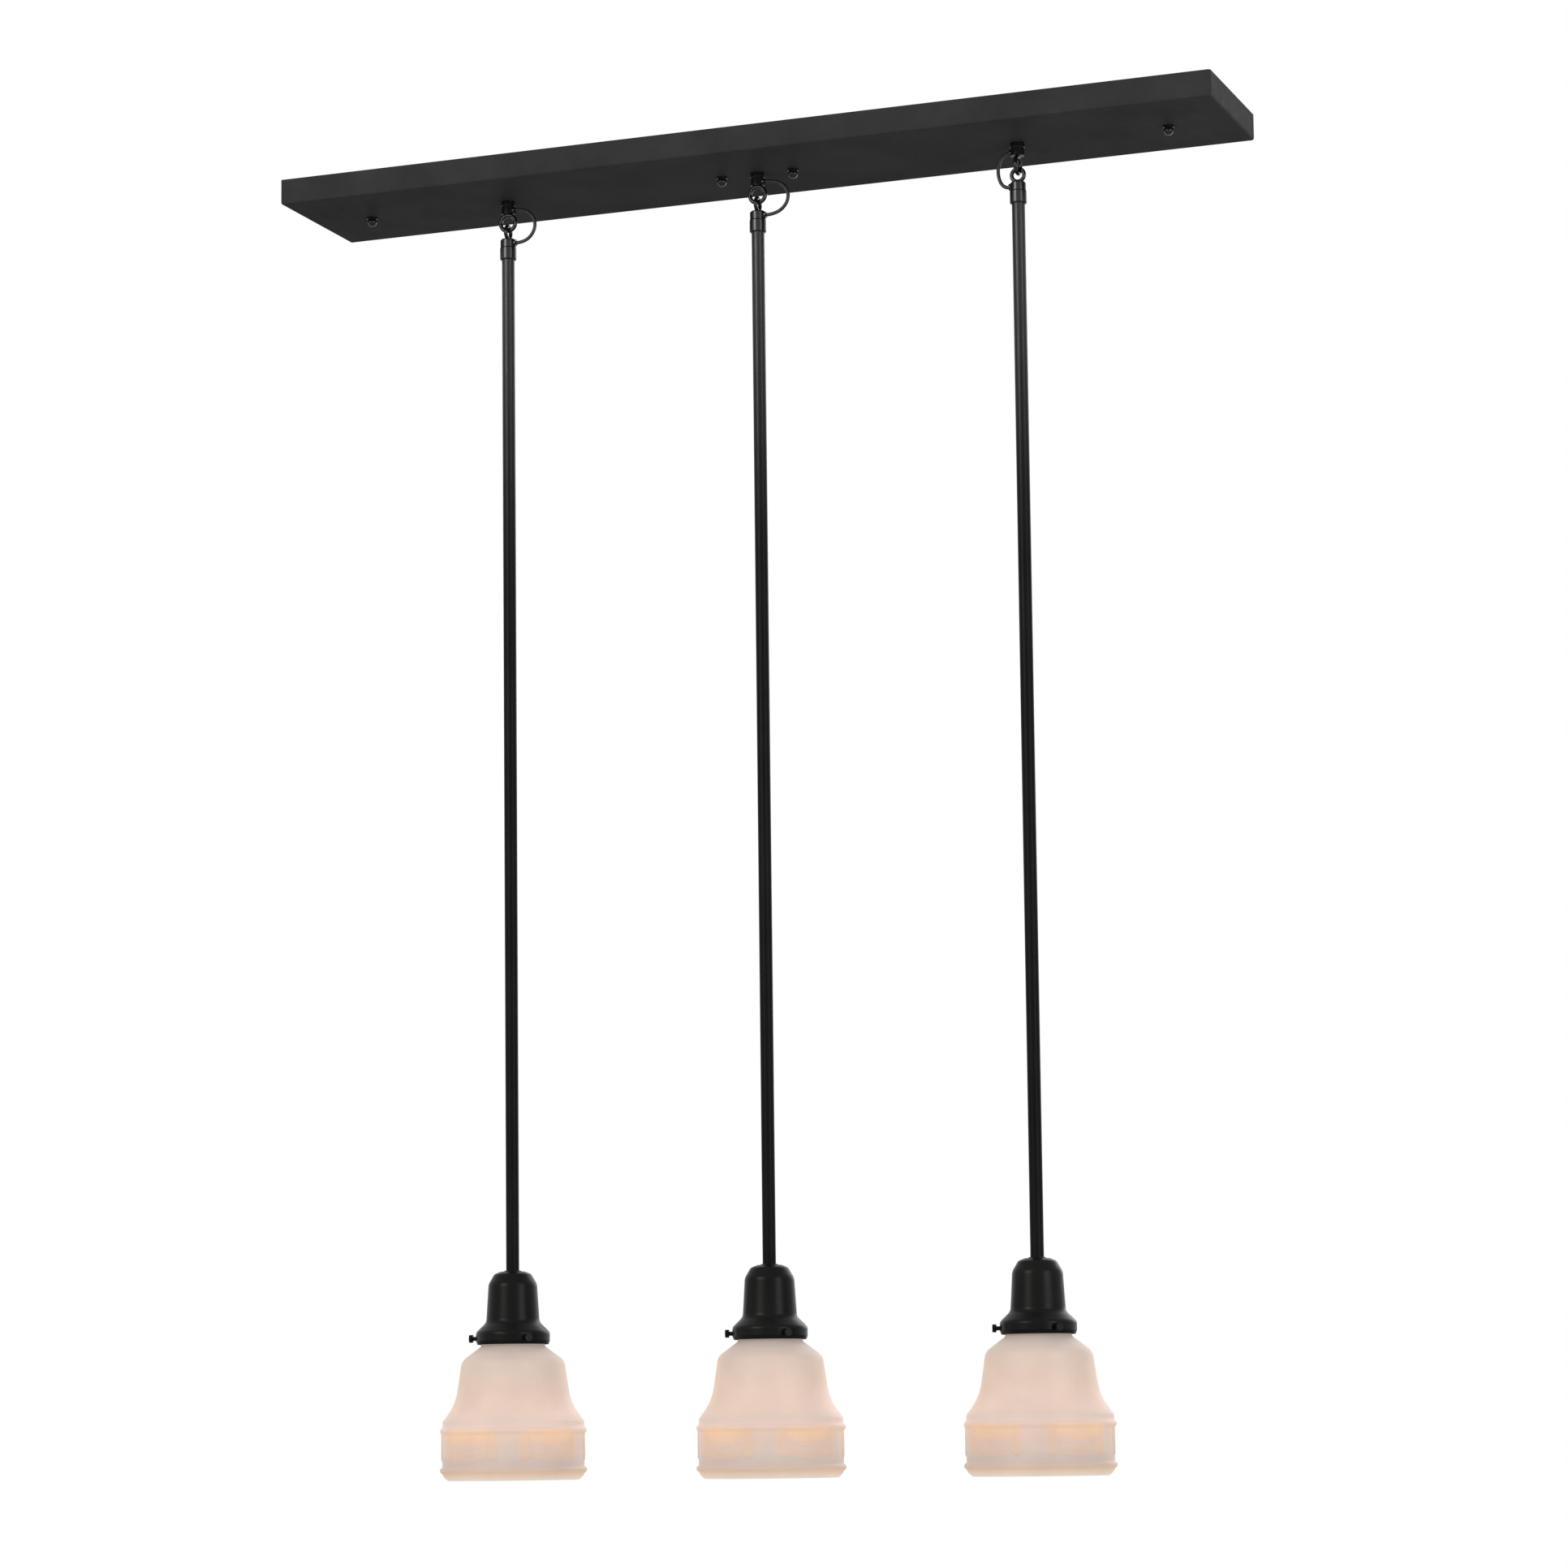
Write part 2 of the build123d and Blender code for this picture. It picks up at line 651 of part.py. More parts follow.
def main():
    os.makedirs("parts", exist_ok=True)
    save("canopy", canopy())
    save("mounting_strap", mounting_strap())
    save("strap_studs", strap_studs())
    save("stud_jam_nuts", stud_jam_nuts())
    save("ball_nuts", ball_nuts())
    save("ground_screw", ground_screw())
    save("stem_lock_washers", stem_lock_washers())
    save("stem_lock_nuts", stem_lock_nuts())
    save("loop_collars", loop_collars())
    save("canopy_leads", [canopy_lead(x, side) for x, turn, side, reach in pendants])
    save("wire_nuts", [wire_nut(x) for x, *_ in pendants])
    for number, (x, turn, side, reach) in enumerate(pendants, 1):
        save(f"upper_loop_{number}", upper_loop(x, turn, side))
        save(f"loop_wire_{number}", loop_wire(x, side, reach))
        save(f"lower_loop_{number}", lower_loop(x, turn, side))
        save(f"coupling_{number}", coupling(x))
        save(f"rod_{number}", rod(x))
        save(f"shade_holder_{number}", shade_holder(x))
        save(f"holder_nut_{number}", holder_nut(x))
        save(f"socket_body_{number}", socket_body(x))
        save(f"socket_shell_{number}", socket_shell(x))
        save(f"rod_lead_{number}", rod_lead(x, side))
        save(f"shade_{number}", shade(x))
        save(f"bulb_glass_{number}", bulb_glass(x))
        save(f"bulb_base_{number}", bulb_base(x))
        for letter, angle in zip("abc", screw_angles):
            save(f"thumb_screw_{number}{letter}", thumb_screw(x, angle))
    print("upper hinge", z_hinge_upper, "lower hinge", z_hinge_lower, "screw height", z_screw)
    print("rim", z_rim, "mouth", z_mouth, "holder", z_holder, "seam", z_bulb_seam)


main()
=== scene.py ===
import math

import bpy
import numpy as np
from mathutils import Matrix, Vector

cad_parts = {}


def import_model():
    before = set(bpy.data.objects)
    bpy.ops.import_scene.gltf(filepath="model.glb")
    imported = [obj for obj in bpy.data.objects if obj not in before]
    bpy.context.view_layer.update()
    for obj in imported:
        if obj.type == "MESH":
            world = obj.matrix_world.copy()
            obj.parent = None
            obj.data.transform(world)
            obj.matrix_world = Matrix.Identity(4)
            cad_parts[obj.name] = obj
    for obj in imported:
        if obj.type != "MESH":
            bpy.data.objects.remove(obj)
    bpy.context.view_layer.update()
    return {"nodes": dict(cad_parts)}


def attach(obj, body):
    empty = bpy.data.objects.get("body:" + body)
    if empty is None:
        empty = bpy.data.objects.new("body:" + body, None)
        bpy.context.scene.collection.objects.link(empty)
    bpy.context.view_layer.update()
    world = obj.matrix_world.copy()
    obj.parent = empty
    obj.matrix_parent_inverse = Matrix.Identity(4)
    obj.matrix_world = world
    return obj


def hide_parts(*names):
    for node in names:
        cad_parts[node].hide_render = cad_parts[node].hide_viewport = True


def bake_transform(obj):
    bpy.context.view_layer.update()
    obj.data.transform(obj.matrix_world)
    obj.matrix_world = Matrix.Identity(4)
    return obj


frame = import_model()
nodes = frame["nodes"]
MM = 0.001

# ---------------------------------------------------------------- camera
FRAME_PX = 1932
FOCAL_PX = 5580.28
SENSOR_MM = 36.0
SHIFT_UP = 0.08
CAMERA_AT = (1.335272, -3.529187, -1.097665)
YAW, PITCH, ROLL = 0.357576, 0.116531, 0.011431

camera_data = bpy.data.cameras.new("camera")
camera = bpy.data.objects.new("camera", camera_data)
bpy.context.scene.collection.objects.link(camera)
bpy.context.scene.camera = camera
camera_data.sensor_width = SENSOR_MM
camera_data.lens = FOCAL_PX / FRAME_PX * SENSOR_MM
camera_data.shift_y = SHIFT_UP
camera_data.clip_start, camera_data.clip_end = 0.05, 60
ahead = Vector((-math.sin(YAW) * math.cos(PITCH), math.cos(YAW) * math.cos(PITCH), math.sin(PITCH)))
camera.matrix_world = (
    Matrix.Translation(CAMERA_AT)
    @ ahead.to_track_quat("-Z", "Y").to_matrix().to_4x4()
    @ Matrix.Rotation(-ROLL, 4, "Z")
)

# ---------------------------------------------------------------- sizes in mm
# For each pendant: its number, its place along the pan, the side of its lead (1 is right), how far
# the lead reaches out, and the degrees that its glass is turned in the holder.
PENDANTS = (
    (1, -233.0, 1, 25.7, 4.0),
    (2, 0.0, 1, 28.0, 0.0),
    (3, 233.0, -1, 17.4, -3.4),
)
LEAD_DIA = 3.0
LEAD_START_X, LEAD_START_Z = 6.6, -29.9
LEAD_END_X, LEAD_END_Z = 7.7, -59.2
# The long piece of the lead takes this share of its length, and at least this much.
LEAD_UPPER_SHARE, LEAD_UPPER_LEAST = 0.74, 30.5
RIM = -1015.0
SHADE_DROP = 114.1
SHADE_WALL = 2.9
SHADE_STEP = 1.1
# Outer line of the glass from its neck to its mouth, as (radius, height over the holder's rim), and
# the round of each corner between the two ends.
SHADE_LINE = (
    (26.6, 7.5), (26.6, -1.2), (43.4, -13.8), (46.8, -37.0),
    (49.3, -50.5), (59.8, -64.8), (60.0, -109.7), (55.5, -SHADE_DROP),
)
SHADE_ROUNDS = (4.0, 10.0, 12.0, 43.0, 3.0, 5.8)
SHADE_LIP = ((23.7, 10.0), (24.2, 10.5), (27.8, 10.5), (28.5, 9.8), (28.5, 8.2), (27.9, 7.5))
MOUTH_OUTER, MOUTH_INNER, MOUTH_ROUND = 54.7, 53.7, 0.5
BAND_R = 60.0
BAND_TOP, BAND_LOW = 72.5, 105.6
RIB_RISE, RIB_BAR = 2.1, 2.8
FESTOONS = 5
FESTOON_TURN = math.radians(-2.0)
RIBBON_AT = math.radians(13.1)
RIBBON_DROP = 20.5
RIBBON_HALF, RIBBON_FLARE = 4.0, 0.9
RIBBON_HEIGHT, RIBBON_FOLD, FOLD_WIDTH = 0.85, 0.22, 4.6
DRAPE_START, DRAPE_SAG, DRAPE_DEPTH = 8.0, 5.5, 13.0
DRAPE_HEIGHT, DRAPE_PLEAT, PLEATS = 0.42, 0.1, 2


# ---------------------------------------------------------------- materials
def material(name):
    """A new node material with its tree's main parts: (material, nodes, link, shader)."""
    m = bpy.data.materials.new(name)
    m.use_nodes = True
    tree = m.node_tree
    return m, tree.nodes, tree.links.new, tree.nodes["Principled BSDF"]


def noise(n, link, scale, detail=3.0, roughness=0.5, stretch=(1, 1, 1)):
    """A noise texture in object space."""
    where = n.new("ShaderNodeTexCoord")
    place = n.new("ShaderNodeMapping")
    place.inputs["Scale"].default_value = stretch
    link(where.outputs["Object"], place.inputs["Vector"])
    t = n.new("ShaderNodeTexNoise")
    t.inputs["Scale"].default_value = scale
    t.inputs["Detail"].default_value = detail
    t.inputs["Roughness"].default_value = roughness
    link(place.outputs["Vector"], t.inputs["Vector"])
    return t


def height_in_part(n, link):
    """The height in the part's frame, in metres."""
    where = n.new("ShaderNodeTexCoord")
    split = n.new("ShaderNodeSeparateXYZ")
    link(where.outputs["Object"], split.inputs["Vector"])
    return split.outputs["Z"]


def ramp(n, link, source, stops):
    """A colour ramp on a value, from (position, colour) stops."""
    r = n.new("ShaderNodeValToRGB")
    while len(r.color_ramp.elements) < len(stops):
        r.color_ramp.elements.new(0.5)
    for e, (at, colour) in zip(r.color_ramp.elements, stops):
        e.position = at
        e.color = (*colour, 1)
    link(source, r.inputs["Fac"])
    return r


def bump(n, link, height, distance, strength, shader):
    """A small relief on a shader's normal."""
    b = n.new("ShaderNodeBump")
    b.inputs["Distance"].default_value = distance
    b.inputs["Strength"].default_value = strength
    link(height, b.inputs["Height"])
    link(b.outputs["Normal"], shader.inputs["Normal"])


def paint(name, dark, light, rough=(0.36, 0.5), grain=2600.0, lift=0.00006, gleam=0.5):
    """Satin powder coat: fine orange peel, slow colour drift and uneven gloss."""
    m, n, link, s = material(name)
    slow = noise(n, link, 14.0, 4.0, 0.6)
    tint = ramp(n, link, slow.outputs["Fac"], [(0.35, dark), (0.68, light)])
    link(tint.outputs["Color"], s.inputs["Base Color"])
    worn = noise(n, link, 55.0, 6.0, 0.65)
    gloss = n.new("ShaderNodeMapRange")
    gloss.inputs["From Min"].default_value = 0.3
    gloss.inputs["From Max"].default_value = 0.7
    gloss.inputs["To Min"].default_value = rough[0]
    gloss.inputs["To Max"].default_value = rough[1]
    link(worn.outputs["Fac"], gloss.inputs["Value"])
    link(gloss.outputs["Result"], s.inputs["Roughness"])
    peel = noise(n, link, grain, 2.0, 0.5)
    bump(n, link, peel.outputs["Fac"], lift, 0.5, s)
    s.inputs["Specular IOR Level"].default_value = gleam
    return m


def painted_sheen_top(m, high, low, top, bottom):
    """Painted sheen: a paint reflects more between two heights in mm, towards the top of the part.
    """
    n, link = m.node_tree.nodes, m.node_tree.links.new
    fade = n.new("ShaderNodeMapRange")
    fade.interpolation_type = "SMOOTHSTEP"
    fade.inputs["From Min"].default_value = low * MM
    fade.inputs["From Max"].default_value = high * MM
    fade.inputs["To Min"].default_value = bottom
    fade.inputs["To Max"].default_value = top
    link(height_in_part(n, link), fade.inputs["Value"])
    link(fade.outputs["Result"], n["Principled BSDF"].inputs["Specular IOR Level"])


def metal(name, dark, light, rough=(0.25, 0.42), stretch=(1, 1, 30), scale=220.0):
    """Bare metal with drawn or brushed lines."""
    m, n, link, s = material(name)
    lines = noise(n, link, scale, 5.0, 0.6, stretch)
    tint = ramp(n, link, lines.outputs["Fac"], [(0.3, dark), (0.7, light)])
    link(tint.outputs["Color"], s.inputs["Base Color"])
    s.inputs["Metallic"].default_value = 1.0
    gloss = n.new("ShaderNodeMapRange")
    gloss.inputs["To Min"].default_value = rough[0]
    gloss.inputs["To Max"].default_value = rough[1]
    link(lines.outputs["Fac"], gloss.inputs["Value"])
    link(gloss.outputs["Result"], s.inputs["Roughness"])
    bump(n, link, lines.outputs["Fac"], 0.00003, 0.5, s)
    return m


def plastic(name, dark, light, rough, scale=900.0):
    """Moulded plastic or rubber with a fine skin."""
    m, n, link, s = material(name)
    skin = noise(n, link, scale, 3.0, 0.6)
    slow = noise(n, link, 60.0, 3.0, 0.5)
    tint = ramp(n, link, slow.outputs["Fac"], [(0.3, dark), (0.7, light)])
    link(tint.outputs["Color"], s.inputs["Base Color"])
    s.inputs["Roughness"].default_value = rough
    bump(n, link, skin.outputs["Fac"], 0.00008, 0.4, s)
    return m


def multiplied(n, link, one, two):
    """Two colours multiplied."""
    mix = n.new("ShaderNodeMix")
    mix.data_type = "RGBA"
    mix.blend_type = "MULTIPLY"
    mix.inputs["Factor"].default_value = 1.0
    link(one, mix.inputs["A"])
    link(two, mix.inputs["B"])
    return mix.outputs["Result"]


def opal():
    """Lit opal glass: milky skin over painted bulb glow, warm where the glass is thin, grey where
    thicker.
    """
    m, n, link, s = material("opal_glass")
    down = n.new("ShaderNodeMapRange")
    down.inputs["From Min"].default_value = RIM * MM
    down.inputs["From Max"].default_value = (RIM - SHADE_DROP) * MM
    link(height_in_part(n, link), down.inputs["Value"])
    # It is darkest at the neck as painted shadow of the holder, and lighter at the mouth's edge.
    # Painted glow by height, standing in for the bulb's light through the glass.
    painted_glow_by_height = ramp(n, link, down.outputs["Result"], [
        (0.0, (0.25, 0.203, 0.177)),
        (0.07, (0.43, 0.345, 0.297)),
        (0.13, (0.50, 0.38, 0.307)),
        (0.22, (0.53, 0.395, 0.306)),
        (0.35, (0.57, 0.412, 0.321)),
        (0.45, (0.61, 0.435, 0.343)),
        (0.52, (0.615, 0.445, 0.361)),
        (0.57, (0.56, 0.43, 0.366)),
        (0.62, (0.605, 0.435, 0.356)),
        (0.67, (0.585, 0.415, 0.305)),
        (0.74, (0.533, 0.383, 0.314)),
        (0.81, (0.49, 0.38, 0.32)),
        (0.88, (0.43, 0.33, 0.28)),
        (0.92, (0.44, 0.315, 0.23)),
        (0.955, (0.56, 0.38, 0.255)),
        (1.0, (0.63, 0.55, 0.47)),
    ])
    glow_look = n.new("ShaderNodeAttribute")
    glow_look.attribute_name = "glow_by_thickness"
    # Painted glow: warmer where the glass looks thin, cooler where it looks thicker.
    share = ramp(n, link, glow_look.outputs["Fac"], [
        (0.0, (1.17, 1.02, 0.80)),
        (0.3, (1.07, 0.96, 0.82)),
        (0.5, (1.0, 1.0, 1.0)),
        (1.0, (0.90, 0.945, 1.03)),
    ])
    cloud = noise(n, link, 30.0, 3.0, 0.55)
    drift = ramp(n, link, cloud.outputs["Fac"], [
        (0.3, (0.94, 0.94, 0.95)),
        (0.7, (1.04, 1.03, 1.0)),
    ])
    glow = multiplied(n, link, painted_glow_by_height.outputs["Color"], share.outputs["Color"])
    glow = multiplied(n, link, glow, drift.outputs["Color"])
    link(glow, s.inputs["Emission Color"])
    s.inputs["Emission Strength"].default_value = 1.0
    milk = ramp(n, link, cloud.outputs["Fac"], [
        (0.3, (0.215, 0.19, 0.18)),
        (0.7, (0.235, 0.207, 0.197)),
    ])
    link(milk.outputs["Color"], s.inputs["Base Color"])
    s.inputs["Roughness"].default_value = 0.58
    s.inputs["IOR"].default_value = 1.5
    ripple = noise(n, link, 90.0, 2.0, 0.5)
    bump(n, link, ripple.outputs["Fac"], 0.0004, 0.2, s)
    return m


def lit_bulb():
    """Frosted, lit bulb glass."""
    m, n, link, s = material("bulb_glass")
    frost = noise(n, link, 700.0, 2.0, 0.5)
    tint = ramp(n, link, frost.outputs["Fac"], [
        (0.3, (0.95, 0.90, 0.80)),
        (0.7, (1.0, 0.96, 0.88)),
    ])
    link(tint.outputs["Color"], s.inputs["Base Color"])
    link(tint.outputs["Color"], s.inputs["Emission Color"])
    s.inputs["Emission Strength"].default_value = 2.2
    s.inputs["Roughness"].default_value = 0.35
    bump(n, link, frost.outputs["Fac"], 0.00005, 0.4, s)
    return m


CANOPY_PAINT = paint("canopy_paint", (0.038, 0.038, 0.0385), (0.052, 0.052, 0.0525), (0.5, 0.62),
                     gleam=0.01)
ROD_PAINT = paint("rod_paint", (0.005, 0.0048, 0.005), (0.009, 0.0088, 0.009), (0.3, 0.42),
                  gleam=0.06)
# Painted sheen: the rods reflect more near their tops, so they look lighter there.
painted_sheen_top(ROD_PAINT, high=60.0, low=-380.0, top=0.5, bottom=0.05)
HOLDER_PAINT = paint("holder_paint", (0.004, 0.004, 0.0036), (0.007, 0.007, 0.0065), (0.26, 0.36),
                     gleam=0.09)
HARDWARE = paint("black_hardware", (0.006, 0.006, 0.006), (0.012, 0.012, 0.012), (0.16, 0.26),
                 grain=1800.0, gleam=0.4)
ZINC = metal("zinc_steel", (0.42, 0.42, 0.4), (0.62, 0.62, 0.6))
GREEN = paint("green_screw", (0.03, 0.2, 0.06), (0.05, 0.3, 0.1), (0.3, 0.4))
BRASS = metal("socket_brass", (0.5, 0.37, 0.16), (0.72, 0.56, 0.28))
BULB_METAL = metal("bulb_metal", (0.55, 0.55, 0.53), (0.75, 0.75, 0.72))
RUBBER = plastic("black_lead", (0.008, 0.008, 0.008), (0.02, 0.02, 0.02), 0.42)
BAKELITE = plastic("socket_black", (0.012, 0.012, 0.012), (0.03, 0.03, 0.03), 0.38)
NUT_ORANGE = plastic("nut_plastic", (0.55, 0.17, 0.02), (0.75, 0.27, 0.05), 0.45)
OPAL = opal()
BULB_GLASS = lit_bulb()

# The material of each kind of node; a kind is the node's name without its pendant's number.
DRESS = {
    "canopy": CANOPY_PAINT, "mounting_strap": ZINC, "strap_studs": ZINC, "stud_jam_nuts": ZINC,
    "ball_nuts": HARDWARE, "ground_screw": GREEN, "stem_lock_washers": ZINC,
    "stem_lock_nuts": ZINC, "loop_collars": HARDWARE, "canopy_leads": RUBBER,
    "wire_nuts": NUT_ORANGE, "upper_loop": HARDWARE, "lower_loop": HARDWARE,
    "coupling": HARDWARE, "rod": ROD_PAINT, "shade_holder": HOLDER_PAINT, "holder_nut": ZINC,
    "socket_body": BAKELITE, "socket_shell": BRASS, "rod_lead": RUBBER, "bulb_glass": BULB_GLASS,
    "bulb_base": BULB_METAL, "thumb_screw": HOLDER_PAINT, "shade": OPAL, "loop_wire": RUBBER,
}
for name, thing in nodes.items():
    kind = name.rstrip("abc").rstrip("123").rstrip("_") if name not in DRESS else name
    thing.data.materials.clear()
    thing.data.materials.append(DRESS[kind])


# ---------------------------------------------------------------- mesh help
def mesh_object(name, points, faces, skin):
    """A smooth mesh object from points and faces, with one material."""
    mesh = bpy.data.meshes.new(name)
    mesh.from_pydata([tuple(map(float, p)) for p in points], [], faces)
    mesh.validate()
    mesh.update()
    mesh.polygons.foreach_set("use_smooth", [True] * len(mesh.polygons))
    mesh.materials.append(skin)
    thing = bpy.data.objects.new(name, mesh)
    bpy.context.scene.collection.objects.link(thing)
    return thing


def tube(name, path, radius, skin, sides=20):
    """A closed round tube along points in metres."""
    path = np.asarray(path, float)
    ahead_of = np.gradient(path, axis=0)
    ahead_of /= np.linalg.norm(ahead_of, axis=1)[:, None]
    side = np.cross(ahead_of[0], (0, 1, 0.001))
    points, faces = [], []
    turn = np.linspace(0, 2 * math.pi, sides, endpoint=False)
    for p, t in zip(path, ahead_of):
        side = side - t * side.dot(t)
        side /= np.linalg.norm(side)
        up = np.cross(t, side)
        points += list(p + radius * (np.outer(np.cos(turn), side) + np.outer(np.sin(turn), up)))
    for k in range(len(path) - 1):
        for j in range(sides):
            a, b = k * sides + j, k * sides + (j + 1) % sides
            faces.append((a, b, b + sides, a + sides))
    faces.append(tuple(range(sides))[::-1])
    faces.append(tuple(range((len(path) - 1) * sides, len(path) * sides)))
    return mesh_object(name, points, faces, skin)


# ---------------------------------------------------------------- bypass leads
def spline_points(points):
    """The NURBS line that has these control points, as points along it."""
    curve = bpy.data.curves.new("route", "CURVE")
    curve.dimensions = "3D"
    curve.resolution_u = 16
    spline = curve.splines.new("NURBS")
    spline.points.add(len(points) - 1)
    for p, q in zip(spline.points, points):
        p.co = (*q, 1)
    spline.order_u = 3
    spline.use_endpoint_u = True
    holder = bpy.data.objects.new("route", curve)
    bpy.context.scene.collection.objects.link(holder)
    bpy.context.view_layer.update()
    depsgraph = bpy.context.evaluated_depsgraph_get()
    line = bpy.data.meshes.new_from_object(holder.evaluated_get(depsgraph))
    out = np.array([v.co[:] for v in line.vertices])
    bpy.data.objects.remove(holder)
    return out


def bypass_lead(number, x, side, reach):
    """The lead round the loops: a long piece from the upper boss, a short one at the lower boss."""
    fall = LEAD_START_Z - LEAD_END_Z
    route = [
        (LEAD_START_X, LEAD_START_Z),
        ((LEAD_START_X + reach) / 2, LEAD_START_Z),
        (reach - 0.4, LEAD_START_Z - 0.28 * fall),
        (reach, LEAD_START_Z - 0.68 * fall),
        ((LEAD_END_X + reach) / 2, LEAD_END_Z),
        (LEAD_END_X, LEAD_END_Z),
    ]
    line = spline_points([((x + side * r) * MM, 0, z * MM) for r, z in route])
    along = np.r_[0, np.cumsum(np.linalg.norm(np.diff(line, axis=0), axis=1))]
    cut = int(np.argmax(along >= max(LEAD_UPPER_LEAST * MM, along[-1] * LEAD_UPPER_SHARE)))
    upper = tube(f"bypass_lead_{number}", line[: cut + 1], LEAD_DIA / 2 * MM, RUBBER)
    lower = tube(f"bypass_lead_end_{number}", line[cut:], LEAD_DIA / 2 * MM, RUBBER)
    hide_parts(f"loop_wire_{number}")
    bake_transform(upper)
    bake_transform(lower)


for number, x, side, reach, _ in PENDANTS:
    bypass_lead(number, x, side, reach)


# ---------------------------------------------------------------- opal shades
def rounded(points, rounds, steps=6):
    """A polyline in (radius, height) with its corners rounded, as points."""
    out = [np.array(points[0], float)]
    for a, b, c, r in zip(points, points[1:], points[2:], rounds):
        a, b, c = (np.array(p, float) for p in (a, b, c))
        one, two = (a - b) / np.linalg.norm(a - b), (c - b) / np.linalg.norm(c - b)
        half = math.acos(np.clip(one @ two, -1, 1)) / 2
        back = r / math.tan(half)
        centre = b + (one + two) / np.linalg.norm(one + two) * r / math.sin(half)
        first, last = b + one * back - centre, b + two * back - centre
        full = math.atan2(first[0] * last[1] - first[1] * last[0], first @ last)
        for k in range(steps + 1):
            t = full * k / steps
            turn = np.array([[math.cos(t), -math.sin(t)], [math.sin(t), math.cos(t)]])
            out.append(centre + turn @ first)
    out.append(np.array(points[-1], float))
    return out


def filled(points, most):
    """The same line with no step longer than a limit."""
    out = [points[0]]
    for a, b in zip(points, points[1:]):
        n = max(1, math.ceil(np.linalg.norm(b - a) / most))
        out += [a + (b - a) * (k + 1) / n for k in range(n)]
    return out


def soft_step(x, low, high):
    """A smooth rise from 0 at a low value to 1 at a high one."""
    t = np.clip((x - low) / (high - low), 0, 1)
    return t * t * (3 - 2 * t)


def relief(angle, drop):
    """The festoon's height in mm at angles and drop under the rim, and a mask for its painted glow.
    """
    step = 2 * math.pi / FESTOONS
    local = (angle - FESTOON_TURN + step / 2) % step - step / 2
    t = drop - BAND_TOP
    band = BAND_LOW - BAND_TOP
    over_low_rib = 1 - soft_step(t, band - 2.6, band - 1.6)
    off = (np.abs(local) - RIBBON_AT) * BAND_R
    width = RIBBON_HALF + RIBBON_FLARE * np.clip(t / RIBBON_DROP, 0, 1)
    end = np.sqrt(off**2 + max(0.0, t - RIBBON_DROP) ** 2)
    ribbon = 1 - soft_step(end, width - 1.2, width + 0.4)
    fold = RIBBON_FOLD * np.cos(off / FOLD_WIDTH * 2 * math.pi)
    away = (np.abs(local) - step / 2) * BAND_R
    half = BAND_R * (step / 2 - RIBBON_AT)
    between = soft_step(half - np.abs(away), 0.0, 2.5)
    sag = DRAPE_SAG * (1 - np.clip(np.abs(away) / half, 0, 1) ** 2)
    share = (t - DRAPE_START - sag) / DRAPE_DEPTH
    drape = soft_step(share, -0.08, 0.1) * (1 - soft_step(share, 0.92, 1.08)) * between
    pleats = DRAPE_PLEAT * np.cos(share * 2 * math.pi * PLEATS)
    height = np.maximum(ribbon * (RIBBON_HEIGHT + fold), drape * (DRAPE_HEIGHT + pleats))
    height = height * (soft_step(t, 1.6, 2.6) * over_low_rib)
    # Painted glow mask: lenses, ribbons and drapes glow warmer; a line along each drape's top is
    # greyer.
    lens = between * (1 - soft_step(share, -0.25, 0.15)) * (1 - ribbon)
    edge = np.exp(-(((share - 0.08) / 0.12) ** 2)) * between * (1 - ribbon)
    look = 0.56 - 0.5 * lens - 0.3 * ribbon - 0.24 * drape * (1 - ribbon) + 0.16 * edge
    # Painted glow: a greyer strip above the lower rib.
    foot = soft_step(t, 24.5, 29.0)
    look = look * (1 - foot) + 0.6 * foot
    glowing = soft_step(t, -1.4, -0.2) * over_low_rib
    return height, look * glowing + 0.5 * (1 - glowing)


def shade_mesh(name, x, turned, around=400):
    """The whole glass: lip, neck, bell, ribs, relief band, turned-in mouth and the inside."""
    outline = rounded([(r, RIM + h) for r, h in SHADE_LINE], SHADE_ROUNDS)
    outer = np.array(filled(outline, SHADE_STEP))
    steps = np.gradient(outer, axis=0)
    normal = np.c_[-steps[:, 1], steps[:, 0]]
    normal /= np.linalg.norm(normal, axis=1)[:, None]
    inner = outer - normal * SHADE_WALL
    low = RIM - SHADE_DROP
    ring = [(r, RIM + h, False) for r, h in SHADE_LIP]
    ring += [(r, z, True) for r, z in outer]
    ring += [(MOUTH_OUTER, low, False), (MOUTH_INNER, low + MOUTH_ROUND, False)]
    ring += [(r, z, False) for r, z in inner[::-3]]
    angle = np.linspace(0, 2 * math.pi, around, endpoint=False)
    points, glow_by_thickness = [], []
    for r, z, outside in ring:
        drop = RIM - z
        radius = np.full(around, float(r))
        glow_look = np.full(around, 0.5)
        if outside:
            near = min(abs(drop - BAND_TOP), abs(drop - BAND_LOW))
            ridge = RIB_RISE - RIB_BAR + max(0.0, RIB_BAR**2 - near**2) ** 0.5
            radius += max(0.0, ridge)
            if BAND_TOP - 2 < drop < BAND_LOW:
                height, glow_look = relief(angle - turned, drop)
                radius = np.maximum(radius, r + height)
        across, deep = x + radius * np.cos(angle), radius * np.sin(angle)
        points += list(np.c_[across, deep, np.full(around, z)] * MM)
        glow_by_thickness += list(glow_look)
    faces = []
    rings = len(ring)
    for k in range(rings):
        for j in range(around):
            a, b = k * around + j, k * around + (j + 1) % around
            c, d = (b + around) % (rings * around), (a + around) % (rings * around)
            faces.append((a, d, c, b))
    thing = mesh_object(name, points, faces, OPAL)
    # The painted glow mask of the festoon, read by the opal material.
    attribute = thing.data.attributes.new("glow_by_thickness", "FLOAT", "POINT")
    attribute.data.foreach_set("value", np.array(glow_by_thickness, np.float32))
    return thing


for number, x, _, _, turned in PENDANTS:
    glass = shade_mesh(f"opal_shade_{number}", x, math.radians(turned))
    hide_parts(f"shade_{number}")
    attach(glass, f"pendant_{number}")


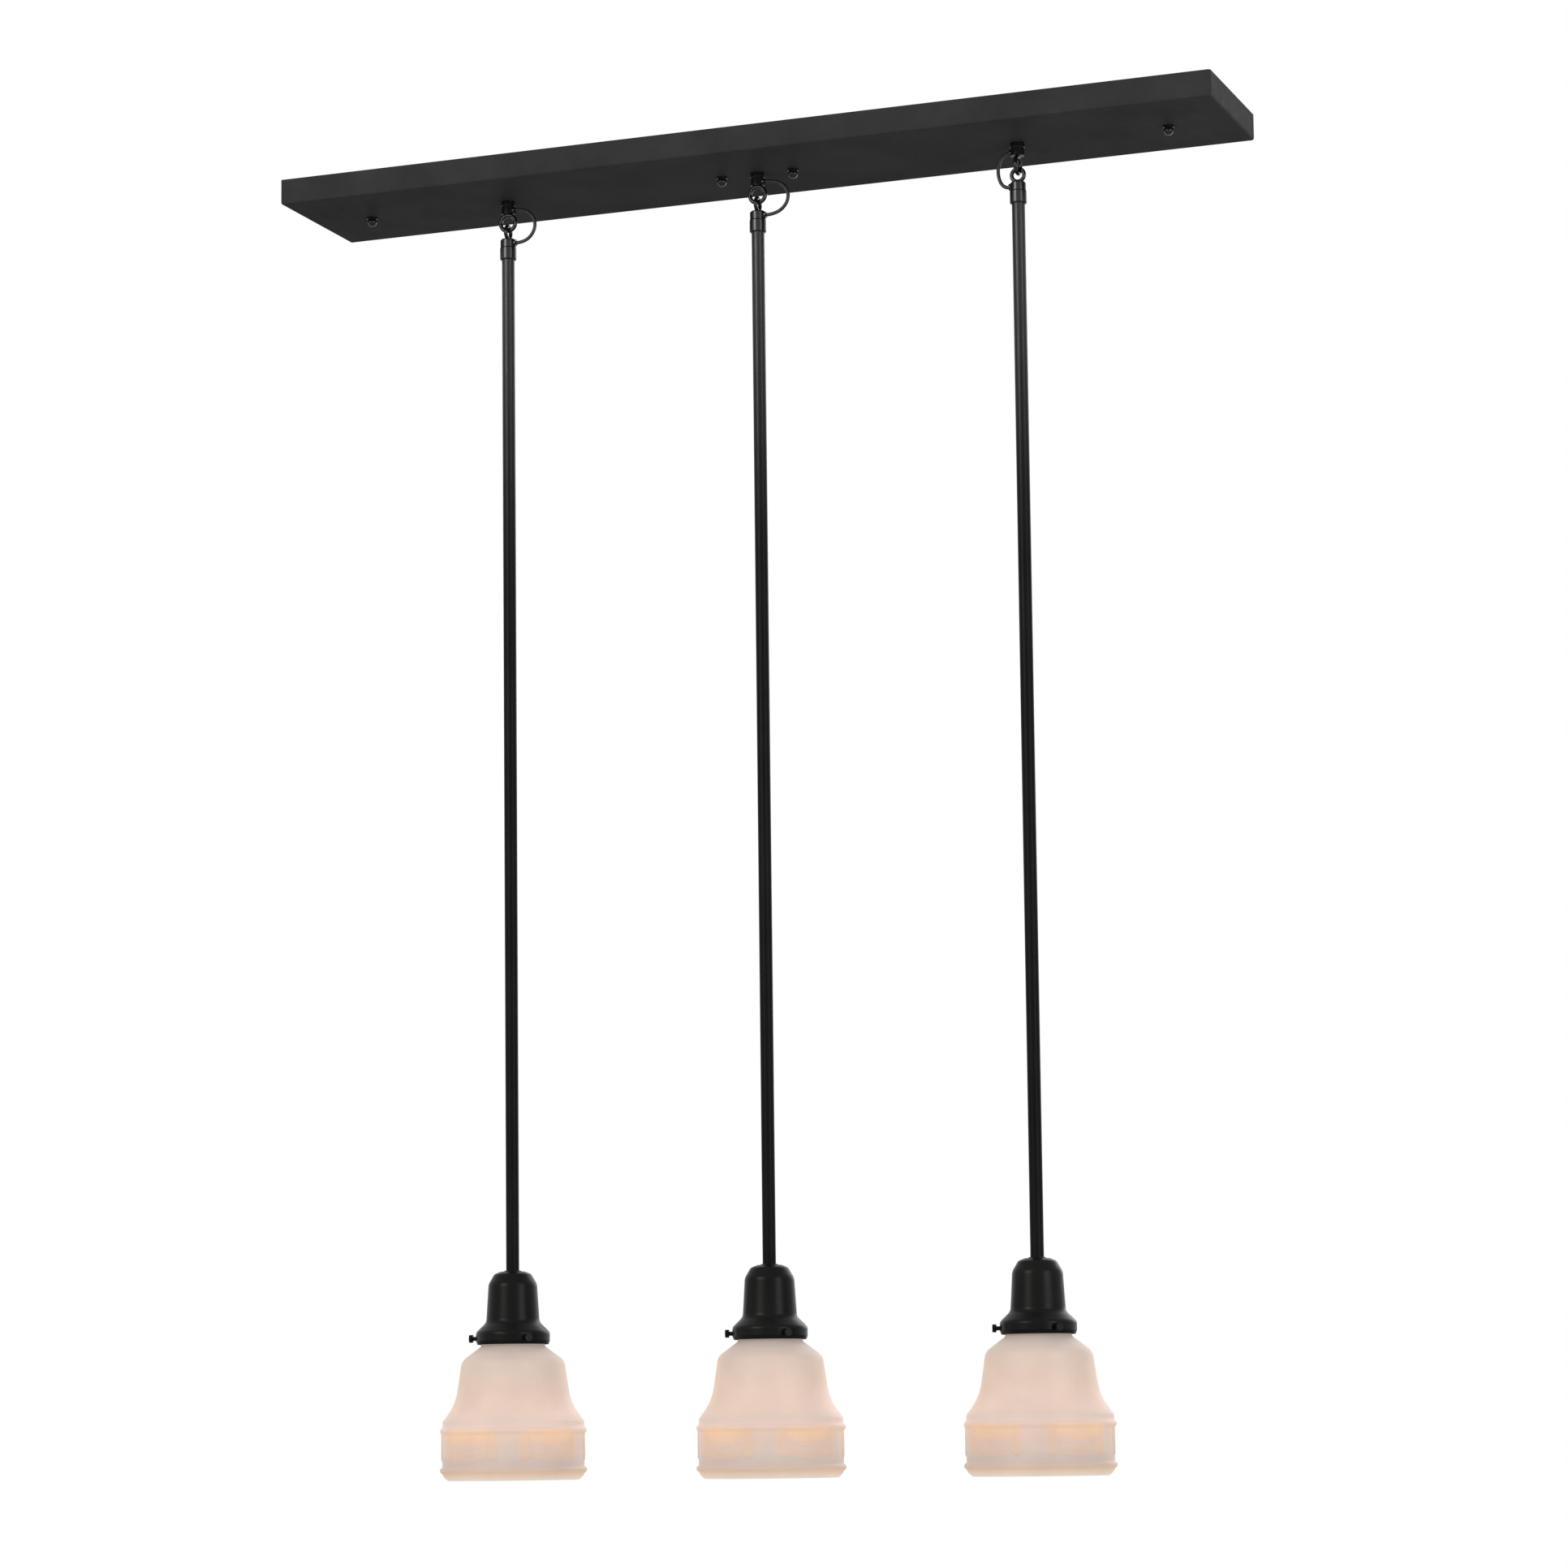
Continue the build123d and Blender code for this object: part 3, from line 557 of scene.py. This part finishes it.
# ---------------------------------------------------------------- stage, world and lamps
def stage_floor(half=9.0, low=-2.4):
    """A plain floor under the lamp; it stays pale to the camera and keeps the shadow."""
    m, n, link, s = material("pale_floor")
    s.inputs["Base Color"].default_value = (0.86, 0.86, 0.86, 1)
    s.inputs["Roughness"].default_value = 0.9
    s.inputs["Emission Color"].default_value = (0.62, 0.62, 0.62, 1)
    link(n.new("ShaderNodeLightPath").outputs["Is Camera Ray"], s.inputs["Emission Strength"])
    corners = [(-half, -half, low), (half, -half, low), (half, half, low), (-half, half, low)]
    mesh_object("floor", corners, [(0, 1, 2, 3)], m)


def world():
    """White to the camera, in reflections and through glass; an even light on the object."""
    w = bpy.data.worlds.new("studio")
    bpy.context.scene.world = w
    w.use_nodes = True
    n, link = w.node_tree.nodes, w.node_tree.links.new
    back = n["Background"]
    back.inputs["Color"].default_value = (0.95, 0.97, 1.0, 1)
    back.inputs["Strength"].default_value = 0.2
    white = n.new("ShaderNodeBackground")
    white.inputs["Color"].default_value = (1, 1, 1, 1)
    white.inputs["Strength"].default_value = 1.0
    path = n.new("ShaderNodeLightPath")
    mix = n.new("ShaderNodeMixShader")
    shown = path.outputs["Is Camera Ray"]
    for kind in ("Is Glossy Ray", "Is Transmission Ray"):
        either = n.new("ShaderNodeMath")
        either.operation = "MAXIMUM"
        link(shown, either.inputs[0])
        link(path.outputs[kind], either.inputs[1])
        shown = either.outputs["Value"]
    link(shown, mix.inputs["Fac"])
    link(back.outputs["Background"], mix.inputs[1])
    link(white.outputs["Background"], mix.inputs[2])
    link(mix.outputs["Shader"], n["World Output"].inputs["Surface"])


def lamp(name, at, to, size, watts, colour=(1, 1, 1)):
    """A large soft lamp aimed at a point."""
    data = bpy.data.lights.new(name, "AREA")
    data.shape = "RECTANGLE"
    data.size, data.size_y = size
    data.energy = watts
    data.color = colour
    thing = bpy.data.objects.new(name, data)
    thing.location = at
    thing.rotation_euler = (Vector(to) - Vector(at)).to_track_quat("-Z", "Y").to_euler()
    bpy.context.scene.collection.objects.link(thing)


stage_floor()
world()
lamp("key", (-1.6, -3.6, 0.7), (0, 0, -0.4), (1.8, 1.8), 80, (1.0, 0.98, 0.95))
lamp("fill", (3.4, -1.7, -0.1), (0, 0, -0.5), (1.6, 2.4), 52, (0.93, 0.97, 1.0))
lamp("back", (0.8, 3.0, 0.4), (0, 0, -0.5), (2.2, 2.2), 24)

bpy.context.scene.view_settings.view_transform = "Standard"
